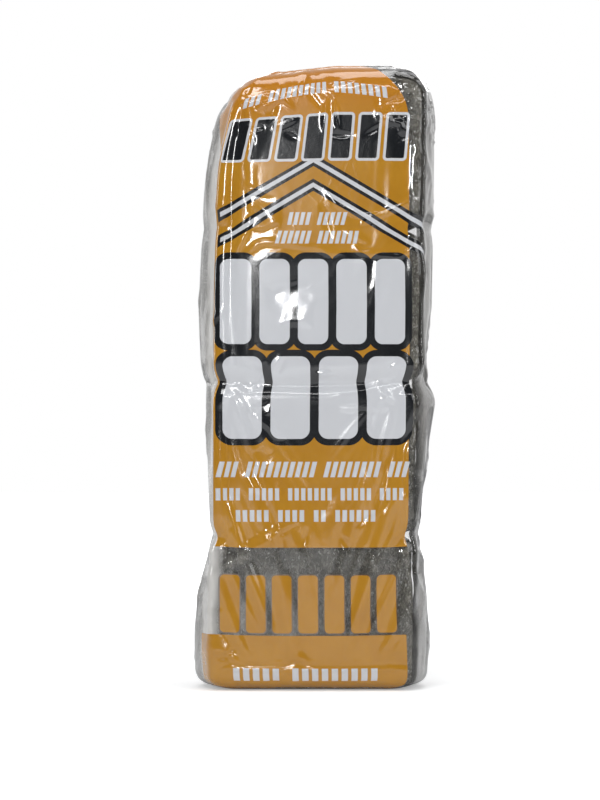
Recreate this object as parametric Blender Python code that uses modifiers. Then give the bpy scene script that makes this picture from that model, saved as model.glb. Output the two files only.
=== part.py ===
"""Printed clear film sleeve packed with sixteen rolled steel wool pads, standing on its flat end.

Metres, +Z up, origin under the middle of the base. The printed front faces -Y.

Sixteen pads lie face to the front, four deep and four rows high. Each pad is one ribbon of
steel wool rolled flat, so its turns show on both ends. The sleeve is one tube of film. At both
ends its front wall folds over the pads to the back edge, where the two walls are sealed together
into a flat tail that lies against the back wall. The film is drawn in between the rows of pads.
The print is fields of colour and plain blocks, each on faces of its own.
"""

from math import ceil, cos, pi, sin

import bmesh
import bpy
from mathutils import Matrix

# Pads, stacked face to face in rows
ROWS = 4
LAYERS = 4
PAD_WIDTH = 0.104
PAD_HEIGHT = 0.079
RIBBON_THICKNESS = 0.0037
TURN_GAP = 0.0005
END_TAPER_LENGTH = 0.014
END_DROP_HEIGHT = 0.0105
END_DROP_THICKNESS = 0.0035
PAD_GAP = 0.0004

# Sideways place of each row, from the base up: the stack leans a little to the right
ROW_SHIFTS = (-0.0015, 0.0, 0.0020, 0.0030)

# Film
FILM_WALL = 0.0003
FILM_CLEARANCE = 0.0004
CORNER_RADIUS = 0.006
CORNER_SLACK = 0.0022
TOP_SLACK = 0.0058
WAIST_DEPTHS = (0.0022, 0.0030, 0.0008)
WAIST_REACH = 0.010
BASE_EDGE_RADIUS = 0.007
TOP_EDGE_RADIUS = 0.012

# Slack of the film's side ridges beyond the pads, by height in rows of pads
SIDE_RIDGES = (
    (0.00, 0.0089, 0.0083),
    (0.38, 0.0089, 0.0083),
    (0.62, 0.0070, 0.0070),
    (0.93, 0.0012, 0.0034),
    (1.17, 0.0012, 0.0026),
    (1.64, 0.0039, 0.0070),
    (1.87, 0.0034, 0.0096),
    (2.03, 0.0072, 0.0076),
    (2.15, 0.0086, 0.0029),
    (2.50, 0.0103, 0.0063),
    (3.30, 0.0080, 0.0066),
)

# Rounded corners of the front's outline: how far they reach in, and up or down
LEFT_SHOULDER = (0.0215, 0.030)
RIGHT_SHOULDER = (0.014, 0.024)
BASE_CORNER = (0.009, 0.008)
SHOULDER_POWER = 2.3

# Sealed tails, folded flat on the back wall
TAIL_LENGTH = 0.014
TAIL_SLIT = 0.0004
TAIL_GAP = 0.0004
TAIL_SIDE_INSET = 0.004

# Inks, by material slot of the film
CLEAR, OCHRE, BLACK, WHITE = range(4)

# Print on the front wall, from the base up: height of each band's top edge, how far that edge
# rises to its middle, blocks across the band, their ink, and the ink round them
PRINT_BANDS = (
    (0.0290, 0.000, 0, OCHRE, OCHRE),
    (0.0315, 0.000, 0, CLEAR, CLEAR),
    (0.0590, 0.000, 7, OCHRE, CLEAR),
    (0.0745, 0.000, 0, CLEAR, CLEAR),
    (0.1265, 0.000, 0, OCHRE, OCHRE),
    (0.1295, 0.000, 0, BLACK, BLACK),
    (0.1730, 0.000, 4, WHITE, BLACK),
    (0.1790, 0.000, 0, BLACK, BLACK),
    (0.2230, 0.000, 5, WHITE, BLACK),
    (0.2260, 0.000, 0, BLACK, BLACK),
    (0.2300, 0.028, 0, OCHRE, OCHRE),
    (0.2360, 0.028, 0, BLACK, BLACK),
    (0.2740, 0.000, 0, OCHRE, OCHRE),
    (0.3000, 0.000, 7, BLACK, OCHRE),
)
TOP_INK = OCHRE
PRINT_RIGHT_EDGE = 0.0460
BLOCK_GAP = 0.0040

# Mesh fineness
FRONT_SEGMENTS = 16
BACK_SEGMENTS = 8
SIDE_SEGMENTS = 4
CORNER_SEGMENTS = 2
BEND_SEGMENTS = 5
RING_SPACING = 0.014
RING_CLEARANCE = 0.002

TURN_PITCH = RIBBON_THICKNESS + TURN_GAP
RIBBON_LAYERS = 4
PAD_THICKNESS = RIBBON_LAYERS * TURN_PITCH - TURN_GAP
LAYER_PITCH = PAD_THICKNESS + PAD_GAP
ROW_PITCH = PAD_HEIGHT + PAD_GAP
PADS_BOTTOM = FILM_WALL + FILM_CLEARANCE
PADS_TOP = PADS_BOTTOM + ROWS * ROW_PITCH - PAD_GAP
PACK_TOP = PADS_TOP + TOP_SLACK
STACK_HALF_DEPTH = (LAYERS * LAYER_PITCH - PAD_GAP) / 2
WALL_Y = STACK_HALF_DEPTH + FILM_CLEARANCE + FILM_WALL
CORNER_X = PAD_WIDTH / 2 + CORNER_SLACK
FRONT_LEFT = -(CORNER_X - CORNER_RADIUS)
FRONT_RIGHT = min(PRINT_RIGHT_EDGE, CORNER_X - CORNER_RADIUS)
TAIL_INNER_Y = WALL_Y + TAIL_GAP
TAIL_OUTER_Y = TAIL_INNER_Y + 2 * FILM_WALL + TAIL_SLIT
FOLD_DROP = 2 * FILM_WALL + TAIL_SLIT + TAIL_GAP
BACK_FOLD = FOLD_DROP + TAIL_GAP / 4
BACK_RIM = BACK_FOLD + TAIL_GAP


def clear_scene():
    for item in list(bpy.data.objects):
        bpy.data.objects.remove(item, do_unlink=True)


def make_material(name, colour, roughness, metallic=0.0, alpha=1.0):
    """A Principled material."""
    material = bpy.data.materials.new(name)
    material.use_nodes = True
    shader = material.node_tree.nodes["Principled BSDF"]
    shader.inputs["Base Color"].default_value = (*colour, 1.0)
    shader.inputs["Roughness"].default_value = roughness
    shader.inputs["Metallic"].default_value = metallic
    shader.inputs["Alpha"].default_value = alpha
    material.diffuse_color = (*colour, alpha)
    material.roughness = roughness
    return material


# Rolled pads


def ribbon_stations():
    """Centre line of the flat roll, from the inner end out: place, and direction across the ribbon."""
    half_turn = TURN_PITCH / 2
    low = -PAD_HEIGHT / 2 + RIBBON_LAYERS / 2 * TURN_PITCH - TURN_GAP / 2 + half_turn
    high = PAD_HEIGHT / 2 - RIBBON_LAYERS / 2 * TURN_PITCH + TURN_GAP / 2
    stations = [((-half_turn, low), (-1.0, 0.0))]
    for bend in range(RIBBON_LAYERS):
        at_top = bend % 2 == 0
        last = bend == RIBBON_LAYERS - 1
        radius = half_turn * (bend + 1)
        middle_y, middle_z = (0.0, high) if at_top else (-half_turn, low)
        steps = BEND_SEGMENTS // 2 if last else BEND_SEGMENTS
        sweep = pi / 2 if last else pi
        for step in range(steps + 1):
            angle = sweep * step / steps
            across = (-cos(angle), sin(angle)) if at_top else (cos(angle), -sin(angle))
            place = (middle_y + radius * across[0], middle_z + radius * across[1])
            stations.append((place, across))
    return stations


def ribbon_outline():
    """Closed outline of the rolled ribbon: out along one side and back along the other."""
    stations = ribbon_stations()
    half = RIBBON_THICKNESS / 2
    outer = [(p[0] + half * n[0], p[1] + half * n[1]) for p, n in stations]
    inner = [(p[0] - half * n[0], p[1] - half * n[1]) for p, n in stations]
    return outer + inner[::-1]


def pad_mesh():
    """One rolled pad about its own middle, with its roll along X and soft, drawn-in ends."""
    flat = bpy.data.curves.new("pad_outline", "CURVE")
    flat.dimensions = "2D"
    flat.fill_mode = "BOTH"
    flat.extrude = PAD_WIDTH / 2
    outline = ribbon_outline()
    spline = flat.splines.new("POLY")
    spline.points.add(len(outline) - 1)
    for point, (y, z) in zip(spline.points, outline):
        point.co = (y, z, 0.0, 1.0)
    spline.use_cyclic_u = True
    holder = bpy.data.objects.new("pad_outline", flat)
    bpy.context.scene.collection.objects.link(holder)
    graph = bpy.context.evaluated_depsgraph_get()
    mesh = bpy.data.meshes.new_from_object(holder.evaluated_get(graph))
    bpy.data.objects.remove(holder, do_unlink=True)
    mesh.name = "rolled_pad"

    stand_up = Matrix(((0, 0, 1, 0), (1, 0, 0, 0), (0, 1, 0, 0), (0, 0, 0, 1)))
    shape = bmesh.new()
    shape.from_mesh(mesh)
    bmesh.ops.remove_doubles(shape, verts=shape.verts, dist=1e-6)
    bmesh.ops.transform(shape, matrix=stand_up, verts=shape.verts)
    for side in (-1, 1):
        bmesh.ops.bisect_plane(
            shape,
            geom=shape.verts[:] + shape.edges[:] + shape.faces[:],
            plane_co=(side * (PAD_WIDTH / 2 - END_TAPER_LENGTH), 0, 0),
            plane_no=(1, 0, 0),
        )
    keep_y = 1 - 2 * END_DROP_THICKNESS / PAD_THICKNESS
    keep_z = 1 - 2 * END_DROP_HEIGHT / PAD_HEIGHT
    for vertex in shape.verts:
        if abs(vertex.co.x) > PAD_WIDTH / 2 - END_TAPER_LENGTH / 2:
            vertex.co.y *= keep_y
            vertex.co.z *= keep_z
    bmesh.ops.recalc_face_normals(shape, faces=shape.faces)
    shape.to_mesh(mesh)
    shape.free()
    mesh.shade_smooth()
    mesh.set_sharp_from_angle(angle=pi / 5)
    return mesh


def make_pads(collection, parent, material):
    """Every pad of the stack. Every second layer is turned round, as pads are packed."""
    mesh = pad_mesh()
    mesh.materials.append(material)
    for row in range(ROWS):
        for layer in range(LAYERS):
            pad = bpy.data.objects.new(f"pad_row{row + 1}_layer{layer + 1}", mesh)
            depth = (layer - (LAYERS - 1) / 2) * LAYER_PITCH
            pad.location = (ROW_SHIFTS[row], depth, PADS_BOTTOM + PAD_HEIGHT / 2 + row * ROW_PITCH)
            pad.rotation_euler = (0, 0, pi if layer % 2 else 0)
            pad.parent = parent
            collection.objects.link(pad)


# Film sleeve


def between(table, at, column):
    """Value of a column of the table at a height, on straight lines between its rows."""
    for low, high in zip(table, table[1:]):
        if at <= high[0]:
            share = max(0.0, (at - low[0]) / (high[0] - low[0]))
            return low[column] + share * (high[column] - low[column])
    return table[-1][column]


def corner_inset(from_end, corner):
    """How far a rounded corner has drawn the film in, at this distance from the pack's end."""
    reach_in, reach_along = corner
    share = min(max(1 - from_end / reach_along, 0.0), 1.0)
    return reach_in * (1 - (1 - share**SHOULDER_POWER) ** (1 / SHOULDER_POWER))


def stack_shift(height):
    """Sideways place of the stack's middle at a height, on straight lines between the rows' middles."""
    rows_up = min(max((height - PADS_BOTTOM) / ROW_PITCH - 0.5, 0.0), ROWS - 1.0)
    row = min(int(rows_up), ROWS - 2)
    return ROW_SHIFTS[row] + (rows_up - row) * (ROW_SHIFTS[row + 1] - ROW_SHIFTS[row])


def waist_height(row):
    """Height of the gap below a row of pads, counted from 0."""
    return PADS_BOTTOM - PAD_GAP / 2 + row * ROW_PITCH


def waist_inset(height):
    """How far the film dips in between two rows of pads."""
    row = round((height - PADS_BOTTOM + PAD_GAP / 2) / ROW_PITCH)
    if row < 1 or row >= ROWS:
        return 0.0
    away = abs(height - waist_height(row))
    return WAIST_DEPTHS[(row - 1) % len(WAIST_DEPTHS)] * max(0.0, 1 - away / WAIST_REACH) ** 2


def edge_inset(height):
    """How far the rounded edges along the base and the top draw the front wall in."""
    low = max(0.0, 1 - height / BASE_EDGE_RADIUS)
    high = max(0.0, 1 - (PACK_TOP - height) / TOP_EDGE_RADIUS)
    low_inset = BASE_EDGE_RADIUS * (1 - (1 - low**2) ** 0.5)
    high_inset = TOP_EDGE_RADIUS * (1 - (1 - high**2) ** 0.5)
    return low_inset + high_inset


def block_lines(blocks):
    """Shares across the front where blocks begin and end, and which of the segments are blocks."""
    if not blocks:
        return [step / FRONT_SEGMENTS for step in range(FRONT_SEGMENTS + 1)], [False] * FRONT_SEGMENTS
    gap = BLOCK_GAP / (FRONT_RIGHT - FRONT_LEFT)
    width = (1 - gap * (blocks + 1)) / blocks
    spare = FRONT_SEGMENTS - (blocks + 1)
    shares = [0.0]
    inked = []
    for block in range(blocks):
        parts = spare * (block + 1) // blocks - spare * block // blocks
        start = shares[-1] + gap
        shares += [start + width * part / parts for part in range(parts + 1)]
        inked += [False] + [True] * parts
    return shares + [1.0], inked + [False]


def lanes(blocks=0):
    """The sleeve's lengthwise lines, once round from the front's left edge: wall name, and place along it."""
    found = [("front", share) for share in block_lines(blocks)[0]]
    found += [("front_right", step / CORNER_SEGMENTS) for step in range(1, CORNER_SEGMENTS + 1)]
    found += [("right", step / SIDE_SEGMENTS) for step in range(1, SIDE_SEGMENTS + 1)]
    found += [("back_right", step / CORNER_SEGMENTS) for step in range(1, CORNER_SEGMENTS)]
    found += [("back", step / BACK_SEGMENTS) for step in range(BACK_SEGMENTS + 1)]
    found += [("back_left", step / CORNER_SEGMENTS) for step in range(1, CORNER_SEGMENTS)]
    found += [("left", step / SIDE_SEGMENTS) for step in range(SIDE_SEGMENTS)]
    found += [("front_left", step / CORNER_SEGMENTS) for step in range(CORNER_SEGMENTS)]
    return found


def wall_point(wall, share, ridge_left, ridge_right):
    """Place of a lane in a plain cross-section of the sleeve, with its side ridges."""
    flat_x = CORNER_X - CORNER_RADIUS
    flat_y = WALL_Y - CORNER_RADIUS
    if wall == "front":
        return FRONT_LEFT + share * (FRONT_RIGHT - FRONT_LEFT), -WALL_Y
    if wall == "back":
        return flat_x - share * 2 * flat_x, WALL_Y
    if wall in ("right", "left"):
        side = 1 if wall == "right" else -1
        ridge = (ridge_right if side > 0 else ridge_left) - CORNER_SLACK
        y = side * flat_y * (2 * share - 1)
        bulge = ridge * (1 - abs(2 * share - 1) ** 1.5)
        return side * (CORNER_X + bulge), y
    quarter = ("front_right", "back_right", "back_left", "front_left").index(wall)
    angle = pi / 2 * (share + quarter - 1)
    side_x = 1 if quarter < 2 else -1
    side_y = -1 if quarter in (0, 3) else 1
    x = side_x * flat_x + CORNER_RADIUS * cos(angle)
    y = side_y * flat_y + CORNER_RADIUS * sin(angle)
    return x, y


def body_ring(base_height, rise=0.0, blocks=0):
    """One ring of the sleeve round the pads. A rise lifts the middle of its front to a peak."""
    ring = []
    for wall, share in lanes(blocks):
        height = base_height + (rise * (1 - abs(2 * share - 1)) if wall == "front" else 0.0)
        rows_up = height / ROW_PITCH
        ridge_left = between(SIDE_RIDGES, rows_up, 1)
        ridge_right = between(SIDE_RIDGES, rows_up, 2)
        x, y = wall_point(wall, share, ridge_left, ridge_right)
        shoulder = LEFT_SHOULDER if x < 0 else RIGHT_SHOULDER
        drawn_in = corner_inset(PACK_TOP - height, shoulder) + corner_inset(height, BASE_CORNER)
        waist = waist_inset(height)
        x *= (1 - drawn_in / CORNER_X) * (1 - waist / CORNER_X)
        y *= 1 - waist / WALL_Y
        if y < 0:
            y *= 1 - edge_inset(height) / WALL_Y
        ring.append((x + stack_shift(height), y, height))
    return ring


def is_back(wall):
    return wall == "back"


def end_rings(rim, flat_height, fold_height, tail_height):
    """Rings from the pack's end face to the mouth of the sealed tail on the back wall."""
    names = [wall for wall, _ in lanes()]
    back_x = [p[0] for p, wall in zip(rim, names) if is_back(wall)]
    right_x = max(back_x) - TAIL_SIDE_INSET
    left_x = min(back_x) + TAIL_SIDE_INSET
    around = [i for i, wall in enumerate(names) if not is_back(wall)]
    first_after_back = names.index("back") + BACK_SEGMENTS + 1
    order = [i for i in around if i >= first_after_back] + [i for i in around if i < first_after_back]
    share_of = {lane: place / (len(order) - 1) for place, lane in enumerate(order)}
    up = 1 if tail_height > flat_height else -1
    corner = TAIL_OUTER_Y - WALL_Y
    rings = []

    def ring(outer_place, back_place):
        points = []
        for lane, (wall, _) in enumerate(lanes()):
            x, y, _ = rim[lane]
            if is_back(wall):
                squeeze = (x - min(back_x)) / (max(back_x) - min(back_x))
                points.append(back_place(left_x + squeeze * (right_x - left_x)))
            else:
                target = left_x + share_of[lane] * (right_x - left_x)
                points.append(outer_place(x, y, target))
        rings.append(points)

    half = 0.5
    ring(
        lambda x, y, t: (x + half * (t - x), y + half * (WALL_Y - y), flat_height),
        lambda t: (t, WALL_Y, fold_height),
    )
    ring(
        lambda x, y, t: (t, WALL_Y, flat_height),
        lambda t: (t, WALL_Y + TAIL_GAP / 4, fold_height - up * TAIL_GAP / 2),
    )
    ring(
        lambda x, y, t: (t, WALL_Y + corner * sin(pi / 4), flat_height + up * corner * (1 - cos(pi / 4))),
        lambda t: (t, TAIL_INNER_Y - TAIL_GAP / 4, fold_height - up * TAIL_GAP / 2),
    )
    ring(
        lambda x, y, t: (t, TAIL_OUTER_Y, flat_height + up * corner),
        lambda t: (t, TAIL_INNER_Y, fold_height),
    )
    ring(
        lambda x, y, t: (t, TAIL_OUTER_Y, tail_height),
        lambda t: (t, TAIL_INNER_Y, tail_height),
    )
    return rings


def rim_ring(height, back_height):
    """Ring where the end face begins. Its back wall stops short, where it folds into the tail."""
    ring = body_ring(height)
    names = [wall for wall, _ in lanes()]
    return [
        (x, y, back_height if is_back(wall) else height) for (x, y, _), wall in zip(ring, names)
    ]


def print_band(height):
    """The band of print at a height of the front's left edge."""
    for band in PRINT_BANDS:
        if height < band[0]:
            return band
    return (PACK_TOP, 0.0, 0, TOP_INK, TOP_INK)


def body_levels():
    """Height, rise and blocks of each ring round the pads: print edges, waists, rounded edges and shoulders."""
    edges = [(band[0], band[1]) for band in PRINT_BANDS if band[0] < PACK_TOP - RING_CLEARANCE]
    shapes = [BASE_CORNER[1] * (1 - sin(pi / 2 * step / 5)) for step in (0, 1, 2)]
    for row in range(1, ROWS):
        shapes += [waist_height(row) + step * WAIST_REACH / 2 for step in (0, -2, -1, 1, 2)]
    deepest = max(LEFT_SHOULDER[1], RIGHT_SHOULDER[1])
    shapes += [PACK_TOP - deepest * (1 - sin(pi / 2 * step / 6)) for step in (1, 2, 3, 4)]
    end = BACK_RIM + RING_CLEARANCE / 4
    shapes = [height for height in shapes if end < height < PACK_TOP - end]
    for height in shapes:
        below = [edge for edge in edges if edge[0] <= height]
        above = [edge for edge in edges if edge[0] > height]
        risen = below and max(below)[1] or above and min(above)[1]
        near = [edge for edge in edges if abs(edge[0] - height) < RING_CLEARANCE]
        if not risen and not near:
            edges.append((height, 0.0))
    edges = [(0.0, 0.0)] + sorted(edges) + [(PACK_TOP, 0.0)]
    levels = []
    for (low, low_rise), (high, high_rise) in zip(edges, edges[1:]):
        blocks = max(print_band(low - RING_CLEARANCE / 4)[2], print_band(low + RING_CLEARANCE / 4)[2])
        levels.append((low, low_rise, blocks))
        steps = ceil((high + high_rise - low - low_rise) / RING_SPACING)
        steps = max(steps, ceil((high - low) / RING_SPACING))
        for step in range(1, steps):
            share = step / steps
            height = low + share * (high - low)
            levels.append((height, low_rise + share * (high_rise - low_rise), print_band(height)[2]))
    return levels[1:]


def face_ink(lane, height):
    """Ink of the face between this lane and the next, above a ring at this height."""
    wall = lanes()[lane][0]
    band = print_band(height)
    if wall == "front" and lane < FRONT_SEGMENTS:
        return band[3] if block_lines(band[2])[1][lane] else band[4]
    return band[4] if wall == "front_left" else CLEAR


def make_film(collection, parent, materials):
    """The film sleeve: a loft of rings with a wall, open only at the mouths of its sealed tails."""
    base_rim = rim_ring(0.0, BACK_RIM)
    top_rim = rim_ring(PACK_TOP, PACK_TOP - BACK_RIM)
    base_end = end_rings(base_rim, 0.0, BACK_FOLD, TAIL_LENGTH)[::-1]
    top_end = end_rings(top_rim, PACK_TOP, PACK_TOP - BACK_FOLD, PACK_TOP - TAIL_LENGTH)
    levels = body_levels()
    rings = base_end + [base_rim] + [body_ring(*level) for level in levels] + [top_rim] + top_end
    heights = [0.0] * (len(base_end) + 1) + [level[0] for level in levels] + [PACK_TOP] * (len(top_end) + 1)

    count = len(lanes())
    shape = bmesh.new()
    grid = [[shape.verts.new(point) for point in ring] for ring in rings]
    for height, low, high in zip(heights, grid, grid[1:]):
        for lane in range(count):
            beside = (lane + 1) % count
            face = shape.faces.new((low[lane], low[beside], high[beside], high[lane]))
            face.material_index = face_ink(lane, height + RING_CLEARANCE / 4)
    mesh = bpy.data.meshes.new("film_sleeve")
    shape.to_mesh(mesh)
    shape.free()
    for material in materials:
        mesh.materials.append(material)
    mesh.shade_smooth()
    mesh.set_sharp_from_angle(angle=pi / 6)
    sleeve = bpy.data.objects.new("film_sleeve", mesh)
    sleeve.parent = parent
    collection.objects.link(sleeve)
    wall = sleeve.modifiers.new("Film wall", "SOLIDIFY")
    wall.thickness = FILM_WALL
    wall.offset = -1
    wall.use_even_offset = True
    return sleeve


def main():
    clear_scene()
    collection = bpy.data.collections.new("Steel wool pack")
    bpy.context.scene.collection.children.link(collection)
    pack = bpy.data.objects.new("steel_wool_pack", None)
    collection.objects.link(pack)

    wool = make_material("Steel wool", (0.20, 0.20, 0.19), 0.55, metallic=0.7)
    clear = make_material("Clear film", (0.80, 0.80, 0.79), 0.12, alpha=0.25)
    ochre = make_material("Ochre ink", (0.50, 0.29, 0.06), 0.25)
    black = make_material("Black ink", (0.012, 0.012, 0.014), 0.25)
    white = make_material("White ink", (0.72, 0.74, 0.76), 0.25)

    make_pads(collection, pack, wool)
    sleeve = make_film(collection, pack, (clear, ochre, black, white))
    for axis in (0, 1):
        reach = [vertex.co[axis] for vertex in sleeve.data.vertices]
        pack.location[axis] = -(min(reach) + max(reach)) / 2


main()
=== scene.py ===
import math

import bmesh
import bpy
import numpy as np
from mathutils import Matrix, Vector, noise


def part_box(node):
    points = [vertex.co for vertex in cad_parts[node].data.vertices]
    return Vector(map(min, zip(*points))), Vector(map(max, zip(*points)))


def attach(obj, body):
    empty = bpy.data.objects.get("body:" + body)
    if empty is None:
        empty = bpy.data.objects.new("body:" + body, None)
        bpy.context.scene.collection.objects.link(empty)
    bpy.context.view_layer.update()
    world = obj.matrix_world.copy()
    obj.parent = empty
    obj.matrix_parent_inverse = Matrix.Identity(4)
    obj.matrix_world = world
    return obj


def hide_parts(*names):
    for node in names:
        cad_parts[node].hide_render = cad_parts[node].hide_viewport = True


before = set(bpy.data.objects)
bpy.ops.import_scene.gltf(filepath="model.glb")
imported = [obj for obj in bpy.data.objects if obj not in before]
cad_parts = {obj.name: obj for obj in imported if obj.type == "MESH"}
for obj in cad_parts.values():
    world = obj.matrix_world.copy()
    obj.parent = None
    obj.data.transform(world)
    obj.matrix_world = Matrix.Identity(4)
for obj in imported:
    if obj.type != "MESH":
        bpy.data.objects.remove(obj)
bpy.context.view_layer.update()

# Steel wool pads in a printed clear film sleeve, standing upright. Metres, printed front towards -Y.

# Seed of the pads' lumps and the folds' waver, so that each run gives the same shapes
NOISE_SEED = 7
noise.seed_set(NOISE_SEED)

# Pads, as in the part's source
ROWS = 4
LAYERS = 4
PAD_WIDTH = 0.104
PAD_HEIGHT = 0.079
PAD_GAP = 0.0004
RIBBON_THICKNESS = 0.0037
RIBBON_LAYERS = 4
TURN_GAP = 0.0005
TURN_PITCH = RIBBON_THICKNESS + TURN_GAP
PAD_THICKNESS = RIBBON_LAYERS * TURN_PITCH - TURN_GAP
END_TAPER_LENGTH = 0.014
ROW_PITCH = PAD_HEIGHT + PAD_GAP
PADS_BOTTOM = 0.0007
ROW_SHIFTS = (-0.0015, 0.0, 0.0020, 0.0030)

# Sleeve, as in the part's source
SLEEVE_LOW, SLEEVE_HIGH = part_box("film_sleeve")
HEIGHT = SLEEVE_HIGH[2]
WALL_Y = 0.0339
BODY_CENTRE_Y = SLEEVE_LOW[1] + WALL_Y
SECOND_ROW_LOW, SECOND_ROW_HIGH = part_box("pad_row2_layer1")
SLEEVE_MIDDLE_X = (SECOND_ROW_LOW[0] + SECOND_ROW_HIGH[0]) / 2 - ROW_SHIFTS[1]
CORNER_SLACK = 0.0022
CORNER_X = PAD_WIDTH / 2 + CORNER_SLACK
CORNER_RADIUS = 0.006
TAIL_LENGTH = 0.014
TAIL_SIDE_INSET = 0.004

# Slack of the film's side ridges beyond the pads, by height in rows of pads: left and right
SIDE_RIDGES = (
    (0.00, 0.0089, 0.0083),
    (0.38, 0.0089, 0.0083),
    (0.62, 0.0070, 0.0070),
    (0.93, 0.0012, 0.0034),
    (1.17, 0.0012, 0.0026),
    (1.64, 0.0039, 0.0070),
    (1.87, 0.0034, 0.0096),
    (2.03, 0.0072, 0.0076),
    (2.15, 0.0086, 0.0029),
    (2.50, 0.0103, 0.0063),
    (3.30, 0.0080, 0.0066),
)
RIDGE_HEIGHTS, LEFT_RIDGE, RIGHT_RIDGE = np.array(SIDE_RIDGES).T
RIDGE_POWER = 1.5

# Rounded corners and edges, and the dips between rows of pads
LEFT_SHOULDER = (0.0215, 0.030)
RIGHT_SHOULDER = (0.014, 0.024)
BASE_CORNER = (0.009, 0.008)
SHOULDER_POWER = 2.3
BASE_EDGE_RADIUS = 0.007
TOP_EDGE_RADIUS = 0.012
WAIST_DEPTHS = (0.0022, 0.0030, 0.0012)
WAIST_REACH = 0.010

# The upper left shoulder is pressed in and down
SHOULDER_START_X = 0.010
SHOULDER_REACH_X = 0.058
SHOULDER_LOW = 0.255
SHOULDER_PUSH = np.array((0.0072, 0.0, -0.0056))

# Folded ends and tails: the back's fold, where each layer of a tail lies, and pleats along the top
BACK_FOLD = 0.0017
BACK_FOLD_ROUND = 0.003
BACK_LIFT = 0.0047
BACK_LIFT_REACH = 0.03
BACK_FOLD_OUT = 0.0002
INNER_TAIL_OUT = 0.0003
OUTER_TAIL_OUT = 0.0014
PLEATS = 17
PLEAT_DEPTH = 0.0007
PLEAT_END = 0.9

# Fineness of the film, before it is subdivided
FRONT_STEPS = 56
CORNER_STEPS = 3
SIDE_STEPS = 12
BACK_STEPS = 28
BODY_STEPS = 176
FOLD_STEPS = 8
TAIL_STEPS = 4
BASE_RIM = TAIL_STEPS + FOLD_STEPS
TOP_RIM = BASE_RIM + BODY_STEPS
SEAM_MERGE = 0.000005

# Loose film, and how it settles on the pads
FILM_LOOSENESS = 0.0012
LOOSE_FROM_END = 0.02
SETTLE_FRAMES = 18
SETTLE_CAP = 0.008
HELD_LEVELS = 20
HELD_END = (0.002, 0.016)
HELD_SIDE = 0.55
HELD_SIDE_REACH = 0.004
HELD_TAIL_DEPTH = 0.001
HELD_TAIL_HEIGHT = 0.02
CONTACT_GAP = 0.0006
CLOTH_SETTINGS = {
    "quality": 6,
    "mass": 0.06,
    "tension_stiffness": 40,
    "compression_stiffness": 40,
    "shear_stiffness": 20,
    "bending_stiffness": 0.04,
    "tension_damping": 8,
    "compression_damping": 8,
    "air_damping": 4,
    "vertex_group_mass": "held",
    "pin_stiffness": 0.6,
    "use_pressure": True,
    "uniform_pressure_force": -3.0,
}
SETTLE_GRAVITY = 0.1

# Form of the stack that the film settles on
CORE_LEVELS = 96
CORE_LANES = 72
CORE_POWER = 9
CORE_EDGE_RADIUS = 0.008
CORE_SETBACK = 0.0008
CORE_DROP_X = 0.7
CORE_DROP_Y = 0.8


def deselect():
    if bpy.context.object and bpy.context.object.mode != "OBJECT":
        bpy.ops.object.mode_set(mode="OBJECT")
    bpy.ops.object.select_all(action="DESELECT")


def make_active(piece):
    deselect()
    piece.select_set(True)
    bpy.context.view_layer.objects.active = piece


def apply_modifiers(piece):
    make_active(piece)
    for modifier in list(piece.modifiers):
        bpy.ops.object.modifier_apply(modifier=modifier.name)


def face_outwards(piece, merge=None):
    """Turns the faces outwards, after doubled points are merged where a distance is given."""
    make_active(piece)
    bpy.ops.object.mode_set(mode="EDIT")
    bpy.ops.mesh.select_all(action="SELECT")
    if merge:
        bpy.ops.mesh.remove_doubles(threshold=merge)
    bpy.ops.mesh.normals_make_consistent(inside=False)
    bpy.ops.object.mode_set(mode="OBJECT")


def points_of(piece):
    places = np.empty(len(piece.data.vertices) * 3)
    piece.data.vertices.foreach_get("co", places)
    return places.reshape(-1, 3)


def move_points(piece, places):
    piece.data.vertices.foreach_set("co", np.ascontiguousarray(places).ravel())
    piece.data.update()


def give_finish(piece, finish):
    piece.data.materials.clear()
    piece.data.materials.append(finish)


def ramp(value, low, high):
    """0 at low and 1 at high, with soft ends."""
    share = np.clip((value - low) / (high - low), 0, 1)
    return share * share * (3 - 2 * share)


# Shape of the sleeve


def corner_inset(from_end, corner):
    """How far a rounded corner has drawn the film in, at this distance from the pack's end."""
    reach_in, reach_along = corner
    share = np.clip(1 - from_end / reach_along, 0, 1)
    return reach_in * (1 - (1 - share**SHOULDER_POWER) ** (1 / SHOULDER_POWER))


def stack_shift(height):
    """Sideways place of the stack's middle at a height."""
    rows_up = (height - PADS_BOTTOM) / ROW_PITCH - 0.5
    return np.interp(rows_up, range(ROWS), ROW_SHIFTS) + SLEEVE_MIDDLE_X


def waist_inset(height):
    """How far the film dips in between two rows of pads."""
    inset = np.zeros_like(height)
    for row, depth in enumerate(WAIST_DEPTHS, start=1):
        away = np.abs(height - (PADS_BOTTOM + row * ROW_PITCH))
        inset += depth * np.clip(1 - away / WAIST_REACH, 0, 1) ** 2
    return inset


def edge_inset(height):
    """How far the rounded edges along the base and the top draw the front wall in."""
    low = np.clip(1 - height / BASE_EDGE_RADIUS, 0, 1)
    high = np.clip(1 - (HEIGHT - height) / TOP_EDGE_RADIUS, 0, 1)
    return BASE_EDGE_RADIUS * (1 - np.sqrt(1 - low**2)) + TOP_EDGE_RADIUS * (1 - np.sqrt(1 - high**2))


def press_shoulder(places):
    """Presses the upper left shoulder in and down, the same for film and pads."""
    left = np.clip((SHOULDER_START_X - places[:, 0]) / SHOULDER_REACH_X, 0, 1)
    share = left * ramp(places[:, 2], SHOULDER_LOW, HEIGHT)
    return places + share[:, None] * SHOULDER_PUSH


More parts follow.
